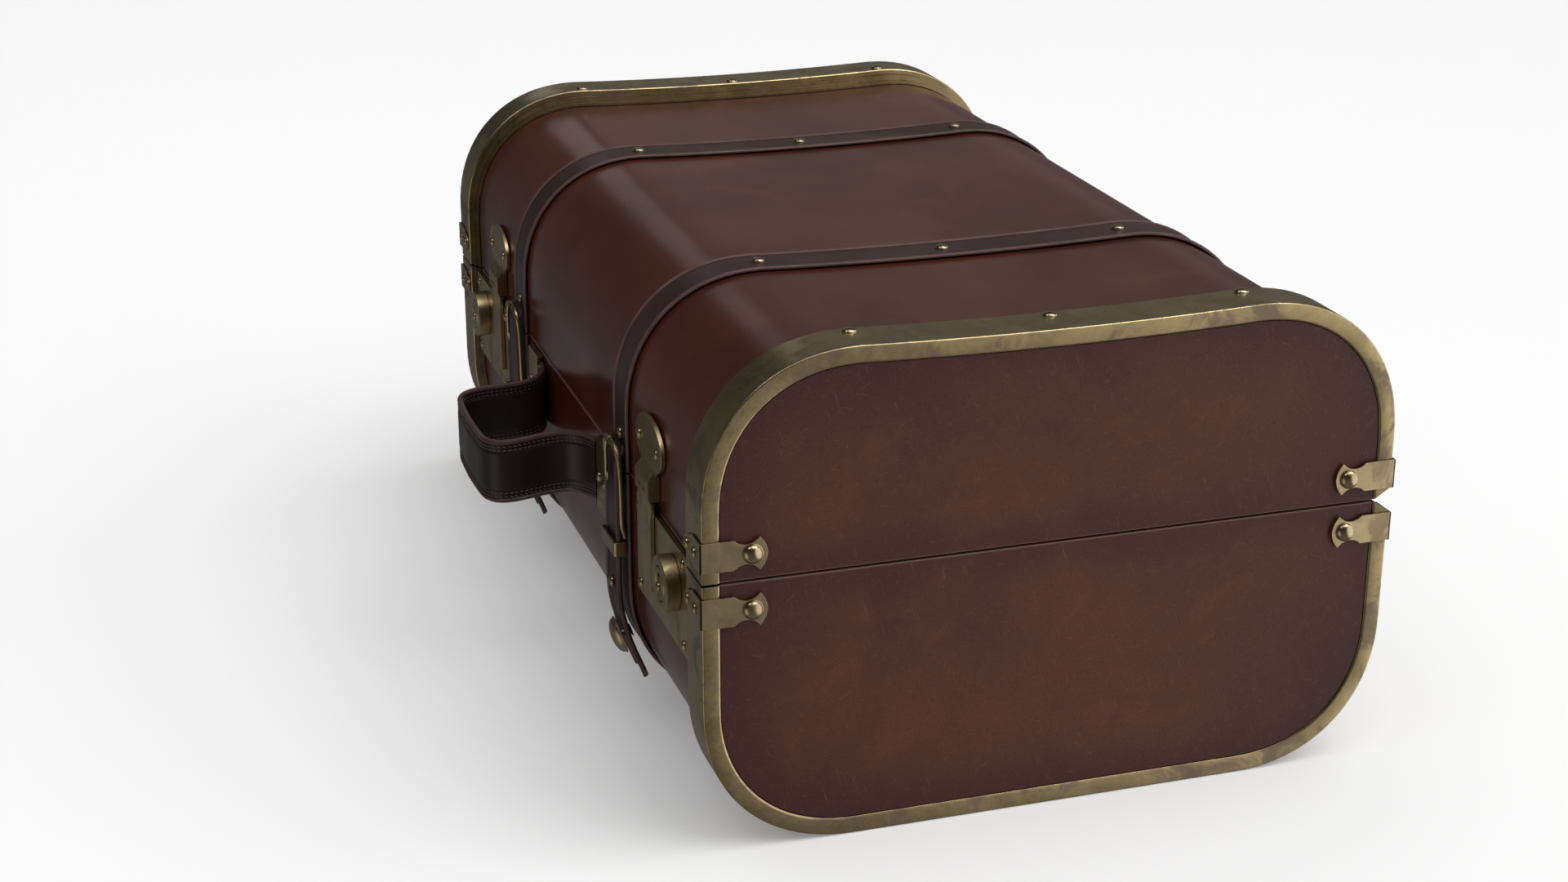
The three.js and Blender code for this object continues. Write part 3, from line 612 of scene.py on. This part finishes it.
def hinge_leaf(lid):
    """A leaf with its knuckles: one in the middle on the lid's side, two beside it on the base's."""
    sign = 1 if lid else -1
    half, middle, knuckle = HINGE_HALF, 10, 3.2
    y0, y1 = -BACK_PLATE, -BACK_PLATE + 1.6
    near, far = SEAM_Z + sign * (knuckle + 0.4), SEAM_Z + sign * 30
    shape = Shape().box(-half, half, y0, y1, *sorted((near, far)), bevel=0.5)
    outer = [(-half, -middle - GAP), (middle + GAP, half)]
    for a, b in ([(-middle, middle)] if lid else outer):
        shape.box(a, b, y0, y1, *sorted((SEAM_Z + sign * 0.8, near + sign)), bevel=0)
        shape.prism("x", circle(HINGE_Y, SEAM_Z, knuckle), a, b, 0.4, angle=1.0)
    for x in (-20, 0, 20):
        shape.rivet((x, y1, SEAM_Z + sign * (21 if x else 14)), (0, 1, 0), 3, 1.4)
    return shape


def hinge_pin():
    half = HINGE_HALF
    profile = [(0, -half), (1.0, -half), (1.2, 0.2 - half), (1.2, half - 0.2), (1.0, half), (0, half)]
    return Shape().lathe(profile, (0, HINGE_Y, SEAM_Z), (1, 0, 0), 14)


# ---- straps ----
BAND = [(14.4, 0.3), (STRAP_HALF, 1.5), (STRAP_HALF, 2.5), (16.6, 3.05), (15.6, 3.3), (14.5, 3.15),
        (13.9, 2.7), (13.3, 2.45)]


def band_section(scale_x=1.0):
    """(x, height) points round a strap's section: rolled edges over an undercut side."""
    right = [(x * scale_x, h) for x, h in BAND]
    return right + mirrored(right)


def strap(lid):
    section = [(x, LEATHER_SIDE - h, LEATHER_TOP - h) for x, h in band_section()]
    shape = Shape().loft(across(lid, section))
    if lid:
        top = HEIGHT - LEATHER_TOP + RIVET_OVER_STRAP
        for y in (-RIVET_Y, 0, RIVET_Y):
            shape.rivet((0, y, top - (0 if y else TOP_DISH)), (0, 0, 1), 4.4, 2.2)
        shape.rivet((0, LEATHER_Y - RIVET_OVER_STRAP, 200.4), (0, -1, 0), 4.2, 2.2)
    return shape


# the tail's underside from the buckle down: y, z and share of its full thickness
TAIL = [(-222.6, 195.8, 0.42), (-222.9, 191.5, 0.5), (-224.8, 187, 0.8), (-225.6, 181, 1),
        (-225.6, 160, 1), (-225.6, 138, 1), (-225.6, 117, 1), (-225.9, 97, 1), (-224.5, 80, 1),
        (-221.3, 66, 1), (-218.6, 56, 1), (-213, 41.5, 1), (-208.2, 29.5, 1)]
STUD_AT = Vector((0, -220.2, 58))
STUD_OUT = Vector((0, -1, -0.31)).normalized()
TAIL_THICK = 3.8


def tail():
    """The tail hanging from the buckle, tapered over its last few steps, with its rivet."""
    line = smooth_line(TAIL, 5)
    rings = []
    for i, (y, z, share) in enumerate(line):
        before, after = line[max(i - 1, 0)], line[min(i + 1, len(line) - 1)]
        along = Vector((after[0] - before[0], after[1] - before[1])).normalized()
        out = Vector((along.y, -along.x))
        left = len(line) - 1 - i
        taper = min(1.0, 0.78 + 0.075 * left) if left < 3 else 1.0
        ring = []
        for x, h in band_section(TAIL_HALF / STRAP_HALF):
            rise = (h - 0.3) / 3.0 * TAIL_THICK * share
            ring.append((x * taper, y + out.x * rise, z + out.y * rise))
        rings.append(ring)
    shape = Shape().loft(rings).use(1)
    shape.lathe([(0, -2.4), (3.2, -2.4), (3.2, 1), (0, 1)], (0, -225.9, 96), (0, -1, 0), 18)
    return shape.rivet((0, -229.3, 96), (0, -1, 0), 4.0, 2.3)


def stud():
    r, rise = 13, 6.5
    profile = [(0, 0), (r, 0), (r + 0.2, 0.5), (r, 1.1), (r - 0.7, 1.35)]
    for i in range(1, 8):
        a = math.pi / 2 * i / 8
        profile.append(((r - 0.8) * math.cos(a), 1.35 + (rise - 1.35) * math.sin(a)))
    seat = STUD_AT + STUD_OUT * (TAIL_THICK + 0.5)
    shape = Shape().lathe(profile + [(0, rise)], seat, STUD_OUT, 36)
    return shape.lathe([(0, -2), (2.9, -2), (2.9, 4.6), (0, 4.6)], STUD_AT, STUD_OUT, 16)


def keeper():
    """A flat loop round the tail."""
    def ring(x, y0, y1, r):
        corners = ((x - r, y1 - r, 0), (r - x, y1 - r, 90), (r - x, y0 + r, 180), (x - r, y0 + r, 270))
        return [(cx + r * math.cos(math.radians(a + d)), cy + r * math.sin(math.radians(a + d)))
                for cx, cy, a in corners for d in (0, 22.5, 45, 67.5, 90)]
    outer, inner = ring(17.6, -231.6, -222.4, 1.8), ring(16.4, -230.4, -223.4, 0.8)
    shape = Shape()
    rings = [[(x, y, z) for x, y in line] for line, z in
             ((outer, 120.4), (outer, 129.9), (inner, 130.3), (inner, 120))]
    return shape.loft(rings, closed=True, bevel=0.25, angle=0.9)


BUCKLE_Y, BUCKLE_Z = -228, 195.8


def buckle():
    y, z = BUCKLE_Y, BUCKLE_Z
    half = [(5, y, z), (11, y, z - 0.8), (15.4, y + 0.3, z - 4), (18.2, y + 0.9, z - 11),
            (18.6, y + 1.6, 165), (18.6, y + 1.8, 144), (18.3, y + 3, 137.6), (16.4, -223.9, 133.4),
            (12, -223.9, 133), (4, -223.9, 133)]
    loop = half + [(-x, b, c) for x, b, c in reversed(half)]
    line = smooth_line(loop, 6, closed=True)
    radii = [1.5 + 0.5 * min(1, max(0, (p[2] - z + 14) / 10)) for p in line]
    return Shape().tube(line, radii, 12, closed=True)


def prong():
    """A thin wire with a hooked end, wrapped round the buckle's top bar."""
    y, z, flat = BUCKLE_Y, BUCKLE_Z, -231.3
    line = smooth_line([(0, y - 2.6, z), (0, flat, z - 6), (0, flat, 183), (0, flat, 175),
                        (0.4, flat, 171.6), (2.2, flat, 170), (4.2, flat - 0.1, 171.4),
                        (4.9, flat - 0.3, 174), (5.1, flat - 0.5, 176.2)], 5)
    radii = [1.2 - 0.4 * i / (len(line) - 1) for i in range(len(line))]
    shape = Shape().tube(line, radii, 10)
    wrap = smooth_line([(0, a, b) for a, b in circle(y, z, 2.45, 10)], 3, closed=True)
    return shape.tube(wrap, 0.62, 8, closed=True)


def snap_post():
    return Shape().lathe([(0, -0.4), (4.4, -0.4), (4.4, 0.1), (3.4, 0.6), (0, 0.7)],
                         STUD_AT - STUD_OUT * 3.1, STUD_OUT, 18)


# ---- locks ----
LOCK_X = 283.5
LOCK_SEAT = (LOCK_X, PLATE_FACE - GAP, FITTING_MID)
PLUG_RISE = 9.2  # the plug's face stands this far off the seat
HASP_X, HASP_Y, HASP_Z, HASP_R = 226, -223.8, 188.8, 3.3


def lock_plate():
    shape = Shape().box(196, 313.4, PLATE_FACE, BACK_PLATE, 109.5, 176.4, bevel=0.5)
    for x in (204, 305):
        for z in (116.1, 170):
            shape.rivet((x, PLATE_FACE, z), (0, -1, 0), 3.6, 2)
    return shape


def lock_barrel():
    profile = [(0, 0), (18, 0), (18, 8.2), (17.7, 8.75), (17.1, 9), (12, 9), (11.4, 8.8), (11.2, 8.4),
               (11.2, 2), (0, 2)]
    return Shape().lathe(profile, LOCK_SEAT, (0, -1, 0), 56)


def lock_plug():
    profile = [(0, 2.3), (10.8, 2.3), (10.8, 8.7), (10.5, 9.1), (10, PLUG_RISE), (7.4, PLUG_RISE),
               (7.1, 8.9), (6.8, 8.9), (6.5, PLUG_RISE), (0, PLUG_RISE)]
    return Shape().lathe(profile, LOCK_SEAT, (0, -1, 0), 48)


def keyhole(sign):
    """The hole above the plug's dome: a round top with a slot under it."""
    face = PLATE_FACE - GAP - PLUG_RISE
    x, z = sign * LOCK_X, FITTING_MID
    turns = [math.radians(-58 + 296 * i / 16) for i in range(17)]
    ring = [(x + 1.9 * math.cos(a), z + 5 + 1.9 * math.sin(a)) for a in turns]
    return Shape().prism("y", ring + [(x - 1, z + 1.6), (x + 1, z + 1.6)], face - 1, face + 4, 0)


def plug_dome():
    return Shape().rivet((LOCK_X, PLATE_FACE - GAP - PLUG_RISE, FITTING_MID - 2), (0, -1, 0), 3.4, 2)


def hasp_anchor():
    """A rounded head on the lid, and under it the two cheeks that hold the arm's pin."""
    z0, rise, wide, thick = 219, 18, 31, 3.2
    head = [(wide * math.cos(a), z0 + rise * math.sin(a)) for a in (math.pi * i / 26 for i in range(27))]
    neck = smooth_line([(-30, 214), (-26, 209.5), (-19, 205), (-16.5, 202.5)], 4)
    left = [(-wide, 217.5)] + [tuple(p) for p in neck]
    outline = [(HASP_X + x, z) for x, z in head + left + mirrored(left)]
    shape = Shape().prism("y", outline, BACK_PLATE - thick, BACK_PLATE, 0.7, segments=3)
    y, z, r = HASP_Y, HASP_Z, HASP_R
    front = y - r
    slope = [(BACK_PLATE, 206), (BACK_PLATE - thick, 206), (front, 199.5)]
    side = slope + [(front, z)]
    side += [(y - r * math.cos(a), z - r * math.sin(a)) for a in (math.pi / 2 * i / 6 for i in range(1, 7))]
    side.append((BACK_PLATE, z - r))
    for a, b in ((-15.5, -9), (9, 15.5)):
        shape.prism("x", side, HASP_X + a, HASP_X + b, 0.5, angle=0.45)
    bridge = slope + [(front, 192.6), (BACK_PLATE, 192.6)]
    shape.prism("x", bridge, HASP_X - 9.2, HASP_X + 9.2, 0)
    shape.lathe([(0, -16.3), (1.2, -16.3), (1.2, 16.3), (0, 16.3)], (HASP_X, y, z), (1, 0, 0), 14)
    for dx in (-20.5, 20.5):
        shape.rivet((HASP_X + dx, BACK_PLATE - thick, z0), (0, -1, 0))
    return shape


def hasp_arm():
    """The arm over the lock plate, and the knuckle it hangs from."""
    back = PLATE_FACE - GAP
    front = back - 2.7
    top = HASP_Z - 3.8
    side = [(16, top), (16, top - 6), (15.4, top - 8.4), (14, top - 12), (14, 124.9), (13.4, 123.8),
            (12.3, 123.4)]
    face = [(HASP_X - x, z) for x, z in side] + [(HASP_X + x, z) for x, z in reversed(side)]
    shape = Shape().prism("y", face, front, back, 0.5)
    left, right = HASP_X - 8.7, HASP_X + 8.7
    shape.box(left, right, front, back, top - 1, HASP_Z, 0.3)
    return shape.prism("x", circle(HASP_Y, HASP_Z, 3), left, right, 0.3, angle=1.0)


# ---- handle ----
# half of the handle's centre line from its bracket out: x, y and share of its full thickness
LOOP = [(113, -220.4, 0.5), (100, -220.4, 0.5), (87, -220.4, 0.5), (79.5, -221.2, 0.64), (72, -223.4, 0.86),
        (65.5, -226.4, 1), (60, -230.6, 1), (56.5, -235.6, 1), (54.7, -242, 1), (54.5, -252, 1),
        (55.7, -262, 1), (56.6, -270, 1), (55.8, -278, 1), (52.6, -284.6, 1), (46, -289, 1), (38, -290.9, 1),
        (22, -291.9, 1), (0, -292.5, 1)]
GROOVE_HALF = 1.35  # half the handle's thickness in its stitched grooves
# distance from the nearer cut edge, and half thickness there
RIM = [(0.0, 0.9), (0.5, 1.7), (1.5, 2.15), (2.5, 2.0), (3.2, GROOVE_HALF), (8.4, GROOVE_HALF),
       (9.3, 1.95), (11.0, 2.2)]
STITCH_ROWS = (4.5, 7.1)  # distance of each row from the nearer cut edge
STITCH_FREE = 34.0  # length left unstitched at each end


def handle_line():
    """The centre line as (x, y, share) points, and the outward direction at each."""
    half = smooth_line(LOOP, 5)
    line = half + [Vector((-p[0], p[1], p[2])) for p in reversed(half[:-1])]
    outs = []
    for i in range(len(line)):
        before, after = line[max(i - 1, 0)], line[min(i + 1, len(line) - 1)]
        along = Vector((after[0] - before[0], after[1] - before[1])).normalized()
        outs.append(Vector((-along.y, along.x)))
    return line, outs


def droop(y):
    return DROOP * (y - DROOP_FROM)


def handle():
    line, outs = handle_line()
    section = [(HANDLE_LO + d, t) for d, t in RIM] + [(HANDLE_HI - d, t) for d, t in reversed(RIM)]
    section += [(z, -t) for z, t in reversed(section)]
    rings = [[(p[0] + o.x * t * p[2], p[1] + o.y * t * p[2], z + droop(p[1])) for z, t in section]
             for p, o in zip(line, outs)]
    return Shape().loft(rings)


def handle_stitches():
    """Two rows, slanted opposite ways, in the groove near each edge, inside and outside the loop."""
    line, outs = handle_line()
    pitch, length, radius = 3.4, 2.6, 0.5
    lengths = [0.0]
    for a, b in zip(line, line[1:]):
        lengths.append(lengths[-1] + math.hypot(b[0] - a[0], b[1] - a[1]))
    shape = Shape()
    index, at = 0, STITCH_FREE
    while at < lengths[-1] - STITCH_FREE:
        while lengths[index + 1] < at:
            index += 1
        share = (at - lengths[index]) / (lengths[index + 1] - lengths[index])
        p = line[index].lerp(line[index + 1], share)
        o = outs[index].lerp(outs[index + 1], share).normalized()
        along = Vector((o.y, -o.x, 0))
        for side in (-1, 1):
            for edge, sign in ((HANDLE_LO, 1), (HANDLE_HI, -1)):
                for row, slant in zip(STITCH_ROWS, (0.35, -0.35)):
                    z = edge + sign * row + droop(p[1])
                    lift = GROOVE_HALF * p[2] + 0.12
                    middle = Vector((p[0] + side * o.x * lift, p[1] + side * o.y * lift, z))
                    way = (along + Vector((0, 0, slant))).normalized() * (length / 2)
                    bow = Vector((o.x, o.y, 0)) * side * 0.3
                    shape.tube([middle - way, middle + bow, middle + way], [0.2, radius, 0.2], 5)
        at += pitch
    return shape


def handle_bracket():
    front, mid, left = LEATHER_Y - 4.5, FITTING_MID, 87
    edge = smooth_line([(0, 25.5), (1.8, 22.4), (2.2, 19.4), (0, 16), (0.3, 12.2), (3, 8.8), (3.2, 4.6),
                        (0, 1.6)], 4)
    inner = [(left + x, mid + z) for x, z in edge] + [(left + x, mid - z) for x, z in reversed(edge)]
    outer = [(118, 124), (121, 127), (121, 172), (118, 175)]
    shape = Shape().prism("y", inner + outer, front, BACK_PLATE, 0.5, angle=0.8)
    for x in (97.5, 113.5):
        shape.rivet((x, front, mid), (0, -1, 0))
    return shape


# ---- assembly ----
SIDES = (("left", True, -1), ("right", False, 1))

for part, lid in (("base", False), ("lid", True)):
    shell(lid).piece(f"{part}_shell", CASE)
    lining(lid).piece(f"{part}_lining", LINING)
    for side, mirror, sign in SIDES:
        end_panel(lid).piece(f"{part}_end_panel_{side}", PANEL, mirror)
        brass_frame(lid).piece(f"{part}_frame_{side}", FRAME_BRASS, mirror)
        for end, way in (("front", -1), ("back", 1)):
            clip(way, 1 if lid else -1).piece(f"{part}_clip_{side}_{end}", FITTING_BRASS, mirror)
        strap(lid).piece(f"{part}_strap_{side}", STRAP, dx=sign * STRAP_X)
    for i in (1, 2, 3):
        pin_lo, pin_hi = box_mm(f"hinge_pin_{i}")
        x = (pin_lo.x + pin_hi.x) / 2
        hinge_leaf(lid).piece(f"hinge_{part}_leaf_{i}", FITTING_BRASS, dx=x)
        if not lid:
            hinge_pin().piece(f"hinge_pin_{i}", FITTING_BRASS, dx=x)

handle().piece("handle", HANDLE_HIDE)
handle_stitches().piece("handle", THREAD, name="handle_stitching", replaces=False)

for side, mirror, sign in SIDES:
    handle_bracket().piece(f"handle_bracket_{side}", FITTING_BRASS, mirror)
    lock_plate().piece(f"lock_plate_{side}", FITTING_BRASS, mirror)
    lock_barrel().piece(f"lock_barrel_{side}", FITTING_BRASS, mirror)
    plug = lock_plug().piece(f"lock_plug_{side}", FITTING_BRASS, mirror)
    carve(plug, keyhole(sign))
    plug_dome().piece(f"lock_plug_{side}", FITTING_BRASS, mirror, name=f"lock_plug_dome_{side}",
                      replaces=False)
    hasp_anchor().piece(f"hasp_anchor_{side}", FITTING_BRASS, mirror)
    hasp_arm().piece(f"hasp_arm_{side}", FITTING_BRASS, mirror)
    x = sign * STRAP_X
    buckle().piece(f"buckle_frame_{side}", FITTING_BRASS, dx=x)
    prong().piece(f"buckle_prong_{side}", FITTING_BRASS, dx=x)
    tail().piece(f"strap_tongue_{side}", TAIL_HIDE, dx=x)
    keeper().piece(f"strap_keeper_{side}", FITTING_BRASS, dx=x)
    stud().piece(f"strap_stud_{side}", FITTING_BRASS, dx=x)
    snap_post().piece(f"snap_post_{side}", FITTING_BRASS, dx=x)


# ---- studio ----
# broad lights from far off: name, way the light travels, strength, degrees across, and whether it is mirrored
SUNS = (
    ("fill", (0, 0, -1.0), 1.66, 120, False),
    ("ceiling", (-0.05, -0.10, -1.0), 0.50, 76, True),
    ("key", (-0.28, -0.40, -1.0), 0.84, 44, True),
)
# shapes of light that show only as reflections: name, place, aim, width, height and watts
GLOWS = (
    ("panel_wide", (-3.5, 1.96, 1.6), (0, 0.7, 0.3), 2.88, 1.8, 2.1),
    ("panel_narrow", (-3.5, 0.14, 1.7), (0, 0, 0.3), 0.60, 1.7, 1.15),
    ("overhead", (0.6, 0.45, 2.2), (0.2, 0, 0.3), 1.5, 1.5, 12),
    ("glint_back", (0.4, 1.3, 2.4), (0, 0, 0.3), 0.45, 0.45, 8),
    ("glint_front", (0.4, -1.3, 2.4), (0, 0, 0.3), 0.45, 0.45, 8),
)
# bright parts of the room: direction, cosine where each starts and is full, and its level outside and inside
WALLS = (((0.35, 0.92, 0.05), 0.59, 0.77, 0.10, 1.50), ((0.30, -0.89, -0.36), 0.84, 0.96, 0.0, 0.55))
FLOOR_HALF = 30
FLOOR_DROP = 0.0002  # the floor lies this far under the case


def new_light(name, kind, way):
    light = bpy.data.lights.new(name, kind)
    obj = bpy.data.objects.new(name, light)
    bpy.context.scene.collection.objects.link(obj)
    obj.rotation_euler = Vector(way).to_track_quat("-Z", "Y").to_euler()
    return obj, light


def sun_light(name, way, strength, degrees, mirror):
    obj, light = new_light(name, "SUN", way)
    light.energy = strength
    light.angle = math.radians(degrees)
    obj.visible_glossy = mirror


def glow(name, at, aim, width, height, watts):
    obj, light = new_light(name, "AREA", Vector(aim) - Vector(at))
    light.shape = "RECTANGLE"
    light.size = width
    light.size_y = height
    light.energy = watts
    obj.location = at
    obj.visible_camera = False
    obj.visible_diffuse = False


def studio_world():
    """A dim grey room with a bright wall beyond the near end's right side, light from low on the handle side,
    and a pale backdrop, which only shows where a view looks past the floor's far edge."""
    world = bpy.data.worlds.new("studio")
    world.use_nodes = True
    tree = world.node_tree
    way = tree.nodes.new("ShaderNodeTexCoord").outputs["Generated"]

    def toward(direction):
        node = tree.nodes.new("ShaderNodeVectorMath")
        node.operation = "DOT_PRODUCT"
        node.inputs[1].default_value = direction
        tree.links.new(way, node.inputs[0])
        return node.outputs["Value"]

    level = toward((0.0, 0.0, -0.12))
    for direction, edge, full, low, high in WALLS:
        wall = tree.nodes.new("ShaderNodeMapRange")
        wall.interpolation_type = "SMOOTHSTEP"
        tree.links.new(toward(Vector(direction).normalized()), wall.inputs["Value"])
        for key, value in (("From Min", edge), ("From Max", full), ("To Min", low), ("To Max", high)):
            wall.inputs[key].default_value = value
        total = tree.nodes.new("ShaderNodeMath")
        total.operation = "ADD"
        tree.links.new(wall.outputs[0], total.inputs[0])
        tree.links.new(level, total.inputs[1])
        level = total.outputs[0]
    tree.links.new(level, tree.nodes["Background"].inputs["Strength"])
    tree.nodes["Background"].inputs["Color"].default_value = rgb(1.0, 0.99, 0.98)
    backdrop = tree.nodes.new("ShaderNodeBackground")
    backdrop.inputs["Color"].default_value = rgb(0.93, 0.93, 0.93)
    seen = tree.nodes.new("ShaderNodeLightPath").outputs["Is Camera Ray"]
    either = tree.nodes.new("ShaderNodeMixShader")
    tree.links.new(seen, either.inputs[0])
    tree.links.new(tree.nodes["Background"].outputs[0], either.inputs[1])
    tree.links.new(backdrop.outputs[0], either.inputs[2])
    tree.links.new(either.outputs[0], tree.nodes["World Output"].inputs["Surface"])
    bpy.context.scene.world = world


def floor():
    half = FLOOR_HALF
    mesh = bpy.data.meshes.new("floor")
    corners = [(-half, -half, 0), (half, -half, 0), (half, half, 0), (-half, half, 0)]
    mesh.from_pydata(corners, [], [(0, 1, 2, 3)])
    n = Nodes("floor_paint")
    tone = n.mix(n.noise(3, 2), rgb(0.735, 0.735, 0.735), rgb(0.745, 0.745, 0.745))
    n.feed(n.shader, Base_Color=tone, Roughness=0.4, Specular_IOR_Level=0.05)
    n.feed(n.shader, Emission_Color=rgb(1.0, 1.0, 1.0), Emission_Strength=0.20)
    mesh.materials.append(n.material)
    obj = bpy.data.objects.new("floor", mesh)
    bpy.context.scene.collection.objects.link(obj)
    obj.location.z = cad_lo.z - FLOOR_DROP
    obj.visible_glossy = False


def studio():
    bpy.context.scene.view_settings.view_transform = "Standard"
    studio_world()
    for sun in SUNS:
        sun_light(*sun)
    for shape in GLOWS:
        glow(*shape)
    floor()


def camera():
    """Stands off the near end, a little to the handle side, and looks down on the case."""
    data = bpy.data.cameras.new("camera")
    data.lens = 59.24
    data.sensor_width = 36.0
    cam = bpy.data.objects.new("camera", data)
    bpy.context.scene.collection.objects.link(cam)
    cam.location = (1.68324, -0.56735, 0.78572)
    yaw, pitch = 2.8316, -0.3594
    level = math.cos(pitch)
    look = Vector((level * math.cos(yaw), level * math.sin(yaw), math.sin(pitch)))
    cam.rotation_euler = look.to_track_quat("-Z", "Y").to_euler()
    bpy.context.scene.camera = cam


studio()
camera()

bpy.context.view_layer.update()
